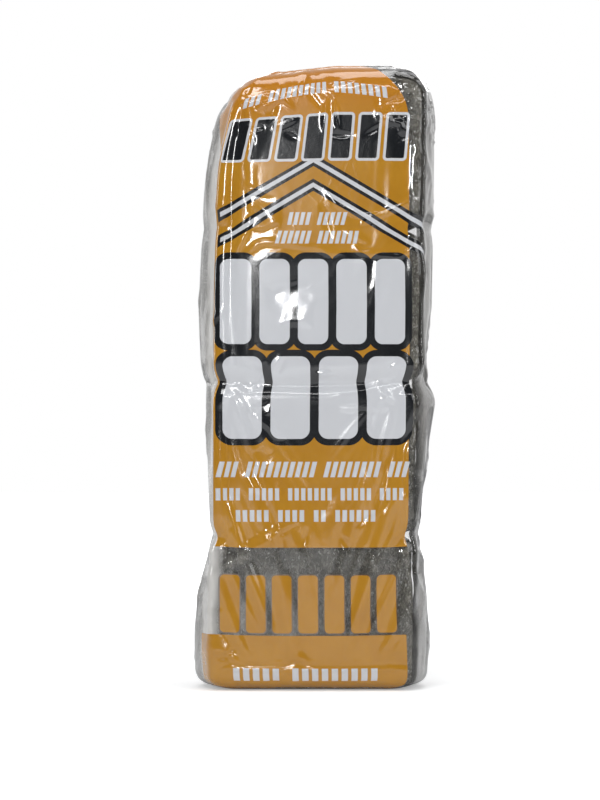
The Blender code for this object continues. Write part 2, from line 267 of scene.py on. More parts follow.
def sleeve_lanes():
    """Lengthwise lines of the sleeve from the middle of the back, once round. For each: its x and y
    in a plain section, how much of the side ridge it carries, and whether it is on the back wall."""
    flat_x = CORNER_X - CORNER_RADIUS
    flat_y = WALL_Y - CORNER_RADIUS
    half_back = BACK_STEPS // 2
    half_front = FRONT_STEPS // 2

    def on_corner(middle_y, angle):
        x = -flat_x + CORNER_RADIUS * math.cos(angle)
        y = middle_y + CORNER_RADIUS * math.sin(angle)
        return x, y, 0.0, False

    lanes = [(-flat_x * step / half_back, WALL_Y, 0.0, True) for step in range(half_back + 1)]
    for step in range(1, CORNER_STEPS + 1):
        lanes.append(on_corner(flat_y, math.pi / 2 * (1 + step / CORNER_STEPS)))
    for step in range(1, SIDE_STEPS):
        across = 2 * step / SIDE_STEPS - 1
        lanes.append((-CORNER_X, -flat_y * across, 1 - abs(across) ** RIDGE_POWER, False))
    for step in range(CORNER_STEPS + 1):
        lanes.append(on_corner(-flat_y, math.pi * (1 + step / CORNER_STEPS / 2)))
    for step in range(1, half_front + 1):
        lanes.append((-flat_x * (1 - step / half_front), -WALL_Y, 0.0, False))
    mirrored = [(-x, y, ridge, back) for x, y, ridge, back in lanes[:-1]]
    x, y, ridge, back = zip(*(lanes + mirrored[::-1]))
    return np.array(x), np.array(y), np.array(ridge), np.array(back)


def sleeve_rows():
    """Rings of the sleeve, from one tail's mouth to the other's. For each: its height, how far its end
    face has folded towards the back, how far along the tail it is, and its distance along the film."""
    rows = []
    fold_run = 2 * WALL_Y
    for step in range(TAIL_STEPS):
        share = 1 - step / TAIL_STEPS
        rows.append((0.0, 1.0, share, -fold_run - share * TAIL_LENGTH))
    for step in range(FOLD_STEPS):
        share = 1 - step / FOLD_STEPS
        rows.append((0.0, share, 0.0, -share * fold_run))
    for step in range(BODY_STEPS + 1):
        height = HEIGHT * step / BODY_STEPS
        rows.append((height, 0.0, 0.0, height))
    for step in range(1, FOLD_STEPS + 1):
        share = step / FOLD_STEPS
        rows.append((HEIGHT, share, 0.0, HEIGHT + share * fold_run))
    for step in range(1, TAIL_STEPS + 1):
        share = step / TAIL_STEPS
        rows.append((HEIGHT, 1.0, share, HEIGHT + fold_run + share * TAIL_LENGTH))
    return np.array(rows)


def body_rings(lanes, height):
    """The sleeve's rings round the pads, a little loose, with ridges, shoulders, waists and edges."""
    lane_x, lane_y, ridge_share, _ = lanes
    on_left = lane_x < 0
    left = np.interp(height / ROW_PITCH, RIDGE_HEIGHTS, LEFT_RIDGE) - CORNER_SLACK
    right = np.interp(height / ROW_PITCH, RIDGE_HEIGHTS, RIGHT_RIDGE) - CORNER_SLACK
    x = lane_x + np.sign(lane_x) * (np.where(on_left, left, right) * ridge_share)
    y = np.repeat(lane_y[None, :], len(height), axis=0)
    z = np.repeat(height, len(lane_x), axis=1)

    from_top = HEIGHT - height
    drawn = np.where(on_left, corner_inset(from_top, LEFT_SHOULDER), corner_inset(from_top, RIGHT_SHOULDER))
    drawn = drawn + corner_inset(height, BASE_CORNER)
    x = x * (1 - drawn / CORNER_X) * (1 - waist_inset(height) / CORNER_X)
    y = y * (1 - waist_inset(height) / WALL_Y)
    y = np.where(y < 0, y * (1 - edge_inset(height) / WALL_Y), y)

    swell = FILM_LOOSENESS * np.clip(np.minimum(height, from_top) / LOOSE_FROM_END, 0, 1)
    x = x + swell * np.sign(x) * (np.abs(lane_x) > CORNER_X - CORNER_RADIUS) + stack_shift(height)
    return x, y + swell * np.sign(y), z


def fold_end(rings, rows, lanes, at_top):
    """Folds one end of the sleeve over to the back and into its sealed tail. The rings are changed."""
    x, y, z = rings
    _, lane_y, _, is_back = lanes
    flat = HEIGHT if at_top else 0.0
    inward = -1 if at_top else 1
    rim = x[TOP_RIM if at_top else BASE_RIM]
    outer = np.nonzero(~is_back)[0]
    share = np.zeros(len(is_back))
    share[outer] = (outer - outer[0]) / (outer[-1] - outer[0])
    back_low, back_high = rim[is_back].min(), rim[is_back].max()
    fold_low, fold_high = back_low + TAIL_SIDE_INSET, back_high - TAIL_SIDE_INSET
    target = fold_low + share * (fold_high - fold_low)
    gathered = fold_low + (rim - back_low) / (back_high - back_low) * (fold_high - fold_low)
    pleats = PLEAT_DEPTH * np.abs(np.sin(share * math.pi * PLEATS)) * at_top

    for index in np.nonzero((rows[:, 1] > 0) & ((rows[:, 0] > 0) == at_top))[0]:
        folded, along = rows[index, 1:3]
        y_back = WALL_Y + BACK_FOLD_OUT
        z_back = flat + inward * BACK_FOLD
        if along > 0:
            x_out = target
            y_out = WALL_Y + OUTER_TAIL_OUT
            z_out = flat + inward * (OUTER_TAIL_OUT + along * (TAIL_LENGTH - OUTER_TAIL_OUT))
            y_back += INNER_TAIL_OUT
            z_back += inward * along * (TAIL_LENGTH - BACK_FOLD)
        else:
            x_out = rim + folded * (target - rim)
            y_out = lane_y + folded * (WALL_Y - lane_y)
            z_out = flat - pleats * math.sin(math.pi * min(folded, PLEAT_END))
            z_back += inward * BACK_FOLD_ROUND * (1 - folded)
        x[index] = np.where(is_back, rim + folded * (gathered - rim), x_out)
        y[index] = np.where(is_back, y_back, y_out)
        z[index] = np.where(is_back, z_back, z_out)

    lift = BACK_LIFT * np.clip(1 - np.abs(rows[:, 0] - flat) / BACK_LIFT_REACH, 0, 1) * (rows[:, 1] == 0)
    z += np.where(is_back, inward * lift[:, None], 0)


def film_distance(lanes):
    """Distance of each lane round the film from the middle of the front, and the whole way round."""
    flat = np.stack(lanes[:2], axis=1)
    closed = np.vstack([flat, flat[:1]])
    steps = np.hypot(*np.diff(closed, axis=0).T)
    along = np.concatenate([[0], np.cumsum(steps)])
    return along - along[-1] / 2, along[-1]


def new_sleeve():
    """A flat sheet of film, wrapped into the sleeve and closed down the middle of its back.
    Also gives the film's girth, its length, and how far along it the base's tail begins."""
    lanes = sleeve_lanes()
    rows = sleeve_rows()
    rings = body_rings(lanes, rows[:, 0:1])
    for at_top in (False, True):
        fold_end(rings, rows, lanes, at_top)
    places = np.stack(rings, axis=-1) + (0, BODY_CENTRE_Y, 0)
    count_rows, count_lanes = places.shape[:2]
    deselect()
    bpy.ops.mesh.primitive_grid_add(x_subdivisions=count_lanes, y_subdivisions=count_rows - 1, size=1)
    film = bpy.context.object
    film.name = "printed_film_sleeve"
    flat = points_of(film)
    lane = np.rint((flat[:, 0] + 0.5) * count_lanes).astype(int)
    ring = np.rint((flat[:, 1] + 0.5) * (count_rows - 1)).astype(int)
    move_points(film, places[ring, lane % count_lanes])

    around, girth = film_distance(lanes)
    start = rows[0, 3]
    reach = rows[-1, 3] - start
    layer = film.data.uv_layers[0]
    layer.name = "film"
    loop_points = np.empty(len(film.data.loops), dtype=np.int32)
    film.data.loops.foreach_get("vertex_index", loop_points)
    uv = np.empty((len(loop_points), 2))
    uv[:, 0] = around[lane[loop_points]] / girth + 0.5
    uv[:, 1] = (rows[ring[loop_points], 3] - start) / reach
    layer.data.foreach_set("uv", uv.ravel())
    face_outwards(film, merge=SEAM_MERGE)
    return film, girth, reach, start


def new_core():
    """The stack of pads as one soft-edged body, for the film to settle on."""
    deselect()
    bpy.ops.mesh.primitive_cylinder_add(vertices=CORE_LANES, radius=1, depth=1, end_fill_type="NGON")
    core = bpy.context.object
    core.name = "pad_stack_form"
    shape = bmesh.new()
    shape.from_mesh(core.data)
    upright = [edge for edge in shape.edges if abs(edge.verts[0].co.z - edge.verts[1].co.z) > 0.5]
    bmesh.ops.subdivide_edges(shape, edges=upright, cuts=CORE_LEVELS - 1)
    for vertex in shape.verts:
        height = PADS_BOTTOM + (vertex.co.z + 0.5) * (ROWS * ROW_PITCH - PAD_GAP)
        angle = math.atan2(vertex.co.y, vertex.co.x)
        reach = (abs(math.cos(angle)) ** CORE_POWER + abs(math.sin(angle)) ** CORE_POWER) ** (-1 / CORE_POWER)
        row = min(int((height - PADS_BOTTOM) / ROW_PITCH), ROWS - 1)
        in_row = (height - PADS_BOTTOM - row * ROW_PITCH) / PAD_HEIGHT
        into_edge = max(0.0, CORE_EDGE_RADIUS - min(in_row, 1 - in_row) * PAD_HEIGHT)
        drop = CORE_EDGE_RADIUS - math.sqrt(max(0.0, CORE_EDGE_RADIUS**2 - into_edge**2))
        half_width = PAD_WIDTH / 2 - CORE_DROP_X * drop
        half_depth = WALL_Y - CORE_SETBACK - CORE_DROP_Y * drop
        vertex.co.x = math.cos(angle) * reach * half_width + float(stack_shift(height))
        vertex.co.y = math.sin(angle) * reach * half_depth + BODY_CENTRE_Y
        vertex.co.z = height
    shape.to_mesh(core.data)
    shape.free()
    return core


def hold_film(film, places):
    """A vertex group that holds the film's ends and tails, and its side ridges in part."""
    held = film.vertex_groups.new(name="held")
    height = places[:, 2]
    from_end = np.minimum(height, HEIGHT - height)
    weight = 1 - ramp(from_end, *HELD_END)
    side = np.abs(places[:, 0] - stack_shift(height)) - (CORNER_X + FILM_LOOSENESS)
    weight = np.maximum(weight, HELD_SIDE * ramp(side, 0.0, HELD_SIDE_REACH))
    behind = places[:, 1] - BODY_CENTRE_Y > WALL_Y - HELD_TAIL_DEPTH
    weight[behind & (from_end < HELD_TAIL_HEIGHT)] = 1.0
    for level in range(1, HELD_LEVELS + 1):
        chosen = np.nonzero(np.rint(weight * HELD_LEVELS).astype(int) == level)[0]
        held.add(chosen.tolist(), level / HELD_LEVELS, "REPLACE")


def settle_film(film, core):
    """Lets the loose film draw in on the pads, with its ends and side ridges held."""
    places = points_of(film)
    hold_film(film, places)
    core.modifiers.new("Collision", "COLLISION")
    core.collision.thickness_outer = CONTACT_GAP
    core.collision.cloth_friction = 8
    cloth = film.modifiers.new("Cloth", "CLOTH")
    for name, value in CLOTH_SETTINGS.items():
        setattr(cloth.settings, name, value)
    cloth.settings.effector_weights.gravity = SETTLE_GRAVITY
    cloth.collision_settings.distance_min = CONTACT_GAP
    cloth.collision_settings.collision_quality = 3
    cloth.collision_settings.use_self_collision = False
    scene = bpy.context.scene
    for run in (scene, cloth.point_cache):
        run.frame_start = 1
        run.frame_end = SETTLE_FRAMES
    for moment in range(1, SETTLE_FRAMES + 1):
        scene.frame_set(moment)
    apply_modifiers(film)
    scene.frame_set(1)
    shift = points_of(film) - places
    length = np.linalg.norm(shift, axis=1, keepdims=True)
    shift *= np.minimum(1, SETTLE_CAP / np.maximum(length, 1e-9))
    move_points(film, places + shift)
    film.vertex_groups.clear()


# Folds and crinkles of the film

MM_PER_METRE = 1000

# Sharp folds across the front: points (x, z), width and height, in millimetres
FRONT_FOLDS = (
    (((3.1, 259), (12.4, 251), (17.6, 247.6), (28.5, 245), (37.3, 246.6), (46, 250.2), (60, 257)), 3.2, 0.60),
    (
        ((-36, 226), (-30.6, 230), (-25.4, 232), (-16.6, 231.5), (-7.3, 230), (6, 226.9), (18.6, 224)),
        3.0,
        0.50,
    ),
    (((-31, 301), (-25.4, 301), (-20, 303.5), (-16.6, 307)), 2.6, 0.55),
    (((32, 302), (34.2, 297), (37.3, 294), (41.7, 293.7), (48.7, 295.8), (53.4, 298.4)), 3.2, 0.65),
    (((20.2, 230.2), (24.9, 226.9), (34, 225.2), (43.5, 224.8), (50.5, 230.2), (55, 237.2)), 2.8, 0.45),
    (((6.7, 152.8), (17, 154.4), (28.2, 157), (39.9, 160.6), (44.3, 163.2)), 3.0, 0.55),
    (((12.2, 145.6), (28.3, 146.6), (40.8, 145.7)), 2.6, 0.45),
    (((-31.6, 142), (-23.5, 135.7), (-15.5, 130)), 2.6, 0.45),
    (((-54, 164), (-49, 161.6), (-45, 159), (-39.6, 158.7), (-33.3, 155.4)), 3.4, -0.95),
    (((-35.2, 112.9), (-31.6, 104.1), (-27, 101)), 3.2, 0.55),
    (((-36, 308), (-33, 290), (-35, 275)), 3.4, 0.55),
    (((30, 70.5), (31.6, 62), (30.5, 57)), 3.2, 0.40),
    (((-6, 70.4), (-4.7, 61.6)), 3.4, 0.35),
)
FOLD_POWER = 1.6
FOLD_END_FADE = 8

# Slack patches that turn up and to the left, in millimetres: middle (x, z), half width, half height, rise
FRONT_PATCHES = (
    (-27.5, 247.5, 8.0, 9.5, 0.80),
    (-11.9, 198.4, 11.0, 11.0, 0.85),
    (1.5, 314.0, 10.0, 5.0, 0.60),
    (-26.5, 119.6, 6.5, 3.5, 0.40),
    (-28.5, 107.5, 6.0, 6.5, 0.50),
    (-27.5, 145.0, 5.0, 4.0, 0.35),
    (-34.0, 268.0, 2.6, 8.0, 0.25),
)
PATCH_LEAN = 0.25
PATCH_SQUARENESS = 4
PATCH_TURN_LEFT = 0.45
PATCH_TURN_UP = 0.55

# Folds and patches lie on the front wall and fade out behind it; a slow waver bends their edges
FRONT_DEPTH = (0.006, 0.014)
WAVER_SCALE = 130
WAVER_REACH = 0.0016
PATCH_WAVER = 2.6

# Creases pressed into the film
CREASE_SEED = 11
CREASE_POWER = 1.5
SOFT_CREASES = {
    "count": 60, "upright": 2.5,
    "lengths": (0.025, 0.070), "widths": (0.0040, 0.0080), "depths": (0.0006, 0.0014),
}
SHARP_CREASES = {
    "count": 110, "upright": 1.0,
    "lengths": (0.008, 0.022), "widths": (0.0018, 0.0034), "depths": (0.0003, 0.0008),
}
FINE_CREASES = {
    "count": 110, "upright": 1.0,
    "lengths": (0.006, 0.017), "widths": (0.0013, 0.0024), "depths": (0.0003, 0.0008),
}


def across_fold(places, path):
    """Distance of each place from a path over the front, and its share along it."""
    nearest = np.full(len(places), np.inf)
    share = np.zeros(len(places))
    legs = len(path) - 1
    for leg in range(legs):
        first = np.array(path[leg]) / MM_PER_METRE
        run = np.array(path[leg + 1]) / MM_PER_METRE - first
        part = np.clip(((places - first) @ run) / (run @ run), 0, 1)
        away = np.linalg.norm(places - first - part[:, None] * run, axis=1)
        closer = away < nearest
        nearest = np.where(closer, away, nearest)
        share = np.where(closer, (leg + part) / legs, share)
    return nearest, share


def fold_front(film):
    """Sharp folds and slack patches on the front of the film."""
    places = points_of(film)
    facing = 1 - ramp(places[:, 1] - (BODY_CENTRE_Y - WALL_Y), *FRONT_DEPTH)
    waver = np.array([noise.noise_vector(Vector(place) * WAVER_SCALE) for place in places]) * WAVER_REACH
    front = places[:, (0, 2)] + waver[:, (0, 2)]
    slack = places[:, (0, 2)] + waver[:, (0, 2)] * PATCH_WAVER
    out = np.zeros(len(places))
    for path, width, height in FRONT_FOLDS:
        away, share = across_fold(front, path)
        fade = np.clip(share * (1 - share) * FOLD_END_FADE, 0, 1)
        across = np.clip(1 - away / (width / MM_PER_METRE), 0, 1)
        out += height / MM_PER_METRE * fade * across**FOLD_POWER
    for x, z, half_width, half_height, rise in FRONT_PATCHES:
        across = (slack[:, 0] - x / MM_PER_METRE) / (half_width / MM_PER_METRE)
        up = (slack[:, 1] - z / MM_PER_METRE) / (half_height / MM_PER_METRE)
        from_middle = np.maximum(np.abs(across + PATCH_LEAN * up), np.abs(up))
        edge = np.clip(1 - from_middle**PATCH_SQUARENESS, 0, 1)
        out += rise / MM_PER_METRE * edge * (across * PATCH_TURN_LEFT - up * PATCH_TURN_UP)
    places[:, 1] -= out * facing
    move_points(film, places)


def crinkle(film):
    """Creases pressed into the film: long soft ones down its sides and short sharp ones at its ends."""
    film.data.update()
    places = points_of(film)
    normals = np.empty(len(film.data.vertices) * 3)
    film.data.vertices.foreach_get("normal", normals)
    normals = normals.reshape(-1, 3)
    random = np.random.default_rng(CREASE_SEED)
    push = np.zeros(len(places))

    def crease(index, direction, length, width, depth):
        away = places - places[index]
        near = np.einsum("ij,ij->i", away, away) < (length * 0.75) ** 2
        spot = away[near]
        along = spot @ direction
        across = np.linalg.norm(spot - along[:, None] * direction, axis=1)
        fade = np.clip(1 - (along / (length / 2)) ** 2, 0, 1)
        narrowed = width * (0.4 + 0.6 * fade)
        push[near] += depth * fade * np.clip(1 - across / narrowed, 0, 1) ** CREASE_POWER

    def scatter(chance, count, lengths, widths, depths, upright):
        chosen = random.choice(len(places), size=count, p=chance / chance.sum())
        for index in chosen:
            direction = random.normal(size=3) * (1, 1, upright)
            direction -= normals[index] * (direction @ normals[index])
            direction /= np.linalg.norm(direction)
            depth = random.choice((-1, 1)) * random.uniform(*depths)
            crease(index, direction, random.uniform(*lengths), random.uniform(*widths), depth)

    height = places[:, 2]
    body = (height > 0.004) & (height < HEIGHT - 0.002) & (places[:, 1] < BODY_CENTRE_Y + WALL_Y)
    side = np.abs(places[:, 0] - stack_shift(height)) > CORNER_X - 0.003
    top = height > HEIGHT - 0.040
    low = height < 0.02
    waists = [PADS_BOTTOM + row * ROW_PITCH for row in range(1, ROWS)]
    at_waist = np.min([np.abs(height - waist) for waist in waists], axis=0) < WAIST_REACH
    top_right = top & (places[:, 0] > 0.040)
    scatter(body * (side + 0.12 * at_waist), **SOFT_CREASES)
    scatter(body * (side * 0.5 + at_waist * 0.6 + top * 1.2 + low * 0.5), **SHARP_CREASES)
    scatter(body * (top_right * 1.4 + top * side), **FINE_CREASES)
    move_points(film, places + normals * push[:, None])


# Pads

# Fineness of a roll, the last turn's sweep, and its soft edges
BEND_STEPS = 12
ROLL_POINTS = 118
ROLL_COLUMNS = 34
LAST_SWEEP = math.pi * 0.62
ROLL_END_SETBACK = 0.001
RIBBON_EDGE = 0.0008

# Lumps of a roll: scale and reach of the noise, its share along each axis, and its step from pad to pad
BROAD_LUMPS = (38, 0.0011)
FINE_LUMPS = (210, 0.00035)
LUMP_SHARES = (1.6, 0.5, 1.0)
LUMP_STEPS = (3.7, 1.9, 5.3)
END_THINNER = 0.34
END_LOWER = 0.10
END_LOWER_POWER = 2.2

# Bends of a roll, squared where they lie against other pads
BEND_POWER = 6
BEND_END = 0.97
BEND_WIDEST = 2.4
PAD_SETBACK = 0.0010
PAD_SMOOTH_ANGLE = math.radians(50)


def roll_path():
    """Middle line of the flat roll in section, evenly spaced."""
    half_turn = TURN_PITCH / 2
    half_stack = RIBBON_LAYERS / 2 * TURN_PITCH
    low = -PAD_HEIGHT / 2 + half_stack - TURN_GAP / 2 + half_turn
    high = PAD_HEIGHT / 2 - half_stack + TURN_GAP / 2
    path = [(-half_turn, low)]
    for bend in range(RIBBON_LAYERS):
        at_top = bend % 2 == 0
        radius = half_turn * (bend + 1)
        middle = (0.0, high) if at_top else (-half_turn, low)
        sweep = math.pi if bend < RIBBON_LAYERS - 1 else LAST_SWEEP
        for step in range(BEND_STEPS + 1):
            angle = sweep * step / BEND_STEPS
            across = (-math.cos(angle), math.sin(angle)) if at_top else (math.cos(angle), -math.sin(angle))
            path.append((middle[0] + radius * across[0], middle[1] + radius * across[1]))
    path = np.array(path)
    along = np.concatenate([[0], np.cumsum(np.hypot(*np.diff(path, axis=0).T))])
    even = np.linspace(0, along[-1], ROLL_POINTS)
    return np.stack([np.interp(even, along, path[:, 0]), np.interp(even, along, path[:, 1])], axis=1)


def new_roll():
    """One ribbon of steel wool, rolled flat."""
    path = roll_path()
    turns = len(path) - 1
    deselect()
    bpy.ops.mesh.primitive_grid_add(x_subdivisions=ROLL_COLUMNS, y_subdivisions=turns, size=1)
    roll = bpy.context.object
    flat = points_of(roll)
    turn = np.rint((flat[:, 1] + 0.5) * turns).astype(int)
    along = flat[:, 0] * (PAD_WIDTH - ROLL_END_SETBACK)
    move_points(roll, np.stack([along, path[turn, 0], path[turn, 1]], axis=1))
    face_outwards(roll)
    wall = roll.modifiers.new("Ribbon", "SOLIDIFY")
    wall.thickness = RIBBON_THICKNESS
    wall.offset = 0
    soft = roll.modifiers.new("Soft edge", "BEVEL")
    soft.width = RIBBON_EDGE
    soft.segments = 2
    soft.limit_method = "ANGLE"
    apply_modifiers(roll)
    return roll


def squeeze(places, seed):
    """Lumps and uneven ends that a soft roll takes on, the same for all its turns."""
    out = places.copy()
    offset = Vector([seed * step for step in LUMP_STEPS])
    for index, place in enumerate(places):
        spot = Vector(place)
        broad = noise.noise_vector(spot * BROAD_LUMPS[0] + offset) * BROAD_LUMPS[1]
        fine = noise.noise_vector(spot * FINE_LUMPS[0] + offset) * FINE_LUMPS[1]
        out[index] = place + np.array(broad + fine) * LUMP_SHARES
    half = PAD_WIDTH / 2
    share = np.clip((np.abs(out[:, 0]) - (half - END_TAPER_LENGTH)) / END_TAPER_LENGTH, 0, 1)
    out[:, 1] *= 1 - END_THINNER * share**2
    out[:, 2] *= 1 - END_LOWER * share**END_LOWER_POWER
    return out


def press_together(places, film_side):
    """Squares a roll's bends where they lie against other pads, and leaves them round towards the film."""
    half = PAD_THICKNESS / 2
    bend = np.clip((np.abs(places[:, 2]) - (PAD_HEIGHT / 2 - half)) / half, 0, BEND_END)
    squared = (1 - bend**BEND_POWER) ** (1 / BEND_POWER)
    wider = np.minimum(squared / np.sqrt(1 - bend**2), BEND_WIDEST)
    pressed = places.copy()
    pressed[:, 1] *= np.where(places[:, 1] * film_side > 0, 1, wider)
    return pressed


def pad_places(base, row, layer, middle):
    """Points of one pad in its place. Every second layer is turned round, as pads are packed."""
    places = squeeze(base, row * LAYERS + layer)
    if layer % 2:
        places[:, :2] *= -1
    film_side = {0: -1, LAYERS - 1: 1}.get(layer, 0)
    half_box = np.array((PAD_WIDTH, PAD_THICKNESS, PAD_HEIGHT)) / 2
    places = np.clip(press_together(places, film_side), -half_box, half_box) + middle
    front_wall = BODY_CENTRE_Y - WALL_Y + edge_inset(places[:, 2])
    places[:, 1] = np.maximum(places[:, 1], front_wall + PAD_SETBACK)
    return press_shoulder(places)


def make_pads(finish):
    roll = new_roll()
    base = points_of(roll)
    for row in range(ROWS):
        for layer in range(LAYERS):
            node = f"pad_row{row + 1}_layer{layer + 1}"
            low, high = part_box(node)
            pad = roll.copy()
            pad.data = roll.data.copy()
            pad.name = f"wool_{node}"
            bpy.context.scene.collection.objects.link(pad)
            move_points(pad, pad_places(base, row, layer, (np.array(low) + np.array(high)) / 2))
            give_finish(pad, finish)
            make_active(pad)
            bpy.ops.object.shade_smooth_by_angle(angle=PAD_SMOOTH_ANGLE)
            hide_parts(node)
            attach(pad, "root")
    bpy.data.objects.remove(roll, do_unlink=True)


# Materials


class Value:
    """A number that varies over a surface, with Python's arithmetic."""

    def __init__(self, recipe, socket):
        self.recipe = recipe
        self.socket = socket

    def combine(self, operation, *others):
        return self.recipe.number(operation, self, *others)

    def __add__(self, other):
        return self.combine("ADD", other)

    def __radd__(self, other):
        return self.combine("ADD", other)

    def __sub__(self, other):
        return self.combine("SUBTRACT", other)

    def __rsub__(self, other):
        return self.recipe.number("SUBTRACT", other, self)

    def __neg__(self):
        return self.recipe.number("SUBTRACT", 0.0, self)

    def __mul__(self, other):
        return self.combine("MULTIPLY", other)

    def __rmul__(self, other):
        return self.combine("MULTIPLY", other)

    def __truediv__(self, other):
        return self.combine("DIVIDE", other)

    def __mod__(self, other):
        return self.combine("FLOORED_MODULO", other)

    def __pow__(self, other):
        return self.combine("POWER", other)

    def __abs__(self):
        return self.combine("ABSOLUTE")


class Recipe:
    """The nodes of one material, or of the world."""

    def __init__(self, holder):
        self.holder = holder
        holder.use_nodes = True
        self.tree = holder.node_tree
        self.tree.nodes.clear()

    def node(self, kind, settings=(), **sockets):
        made = self.tree.nodes.new(kind)
        for key, value in dict(settings).items():
            setattr(made, key, value)
        for key, value in sockets.items():
            self.feed(made.inputs[key.replace("_", " ")], value)
        return made

    def feed(self, socket, value):
        if isinstance(value, Value):
            value = value.socket
        if isinstance(value, bpy.types.NodeSocket):
            self.tree.links.new(value, socket)
        else:
            socket.default_value = value

    def feed_all(self, made, values, first=0):
        for index, value in enumerate(values, start=first):
            self.feed(made.inputs[index], value)
        return made

    def number(self, operation, *values, clamp=False):
        made = self.node("ShaderNodeMath", {"operation": operation, "use_clamp": clamp})
        return Value(self, self.feed_all(made, values).outputs[0])

    def smaller(self, *values):
        found = values[0]
        for value in values[1:]:
            found = self.number("MINIMUM", found, value)
        return found

    def larger(self, *values):
        found = values[0]
        for value in values[1:]:
            found = self.number("MAXIMUM", found, value)
        return found

    def inside(self, distance):
        """1 where a distance is below zero, 0 where it is above, with a soft edge."""
        return self.number("MULTIPLY_ADD", distance, -1 / INK_EDGE_SOFTNESS, 0.5, clamp=True)

    def rising(self, value, low, high):
        """0 below low, 1 above high."""
        return self.number("MULTIPLY_ADD", value, 1 / (high - low), -low / (high - low), clamp=True)

    def blend(self, share, first, second):
        """A colour between two colours."""
        made = self.node("ShaderNodeMix", {"data_type": "RGBA"})
        self.feed(made.inputs[0], share)
        return self.feed_all(made, (first, second), first=6).outputs[2]

    def vector(self, operation, *values):
        made = self.node("ShaderNodeVectorMath", {"operation": operation})
        return self.feed_all(made, values)

    def noise(self, vector, scale, detail=2.0, roughness=0.5, colour=False):
        made = self.node("ShaderNodeTexNoise", Vector=vector, Scale=scale, Detail=detail, Roughness=roughness)
        return made.outputs["Color"] if colour else Value(self, made.outputs["Fac"])

    def cell_edges(self, vector, scale):
        made = self.node("ShaderNodeTexVoronoi", {"feature": "DISTANCE_TO_EDGE"}, Vector=vector, Scale=scale)
        return Value(self, made.outputs[0])

    def stretched(self, vector, turn, scale):
        return self.node("ShaderNodeMapping", Vector=vector, Rotation=turn, Scale=scale).outputs[0]

    def axis(self, vector, index):
        return Value(self, self.node("ShaderNodeSeparateXYZ", Vector=vector).outputs[index])

    def place(self):
        return self.node("ShaderNodeTexCoord").outputs["Object"]

    def layer(self, share, under, over):
        """One shader over another."""
        return self.feed_all(self.node("ShaderNodeMixShader"), (share, under, over)).outputs[0]

    def seen_directly(self):
        """1 for what the camera sees, also through the film."""
        paths = self.node("ShaderNodeLightPath").outputs
        return self.larger(Value(self, paths["Is Camera Ray"]), Value(self, paths["Is Transmission Ray"]))

    def finish(self, shader, output="ShaderNodeOutputMaterial"):
        self.node(output, Surface=shader)
        return self.holder


def new_material(name):
    return Recipe(bpy.data.materials.new(name))


def ink(red, green, blue):
    """A colour as painted, 0 to 255, in the renderer's own scale."""
    shares = [channel / 255 for channel in (red, green, blue)]
    return tuple(s / 12.92 if s <= 0.04 else ((s + 0.055) / 1.055) ** 2.4 for s in shares) + (1.0,)


# Steel wool

# Painted shade: near-black colour of the hollows between the wool's tufts
WOOL_HOLLOW_PAINTED_SHADE = ink(44, 42, 37)
WOOL_BODY = ink(140, 136, 124)
WOOL_STRAND = ink(198, 195, 182)
# Painted glint: near-white points on the strands
WOOL_PAINTED_GLINT = ink(246, 246, 240)
CURL_REACH = (0.0036,) * 3
STRAND_STRETCH = (1.0, 1.0, 0.16)
STRAND_TURNS = (
    (0.2, 0.3, 0.1),
    (0.4, 1.1, 0.6),
    (1.2, 1.9, 0.3),
    (0.1, 2.6, 1.0),
    (1.5, 0.7, 1.6),
)


def steel_wool():
    """Matted fine steel fibres: curled strands lying all ways, with painted shade in the hollows and painted
    glints on the strands.
    """
    make = new_material("Fine steel wool")
    place = make.place()
    curls = make.noise(place, scale=300.0, detail=1.0, colour=True)
    curl = make.vector("MULTIPLY_ADD", curls, CURL_REACH, place).outputs[0]
    strands = 0.0
    for turn in STRAND_TURNS:
        along = make.stretched(curl, turn, STRAND_STRETCH)
        strands = make.larger(make.rising(make.noise(along, scale=1500.0, detail=1.0), 0.60, 0.74), strands)
    clouds = make.rising(make.noise(place, scale=48.0, detail=3.0, roughness=0.55), 0.30, 0.72)
    tufts = make.rising(make.noise(curl, scale=330.0, detail=2.0, roughness=0.6), 0.32, 0.70)
    # Where the painted glints lie
    painted_glint = make.rising(make.noise(curl, scale=900.0, detail=0.0), 0.62, 0.72)
    # Painted shade: the colour goes towards the dark hollow colour where clouds and tufts are low
    body = clouds * 0.46 + tufts * 0.42
    colour = make.blend(body, WOOL_HOLLOW_PAINTED_SHADE, WOOL_BODY)
    colour = make.blend(strands * (tufts * 0.6 + 0.25), colour, WOOL_STRAND)
    # Painted glints on the strands
    colour = make.blend(strands * painted_glint, colour, WOOL_PAINTED_GLINT)
    bump = make.node("ShaderNodeBump", Strength=0.5, Distance=0.0006, Height=strands * 0.6 + tufts * 0.7)
    steel = make.node("ShaderNodeBsdfPrincipled", Roughness=0.48, Metallic=0.3)
    make.feed(steel.inputs["Base Color"], colour)
    make.feed(steel.inputs["Normal"], bump.outputs[0])
    return make.finish(steel.outputs[0])


# Printed film. Its print is laid out flat: metres to the right of the front's middle, and up the front

INK_EDGE_SOFTNESS = 0.00015
OCHRE_DARK = ink(159, 107, 13)
OCHRE_LIGHT = ink(183, 133, 36)
OCHRE_TOP = ink(182, 112, 28)
BLACK_INK = ink(16, 19, 23)
WHITE_INK = ink(194, 196, 200)
# Painted shadow: dark brown edge round the window's ochre blocks, standing in for their shadow on the wool
WINDOW_BLOCK_SHADOW_PAINT = ink(84, 56, 18)
# Bare film's haze with painted light and shade: lighter on the left, darker on the right, darkest at the
# upper right
HAZE_PAINTED_LIGHT_LEFT = ink(206, 204, 200)
HAZE_PAINTED_SHADE_RIGHT = ink(130, 128, 124)
HAZE_PAINTED_SHADE_TIGHT = ink(92, 90, 86)

# The print leans a little, about a height where it stands true
PRINT_LEAN = 0.019
PRINT_TRUE_HEIGHT = 0.12

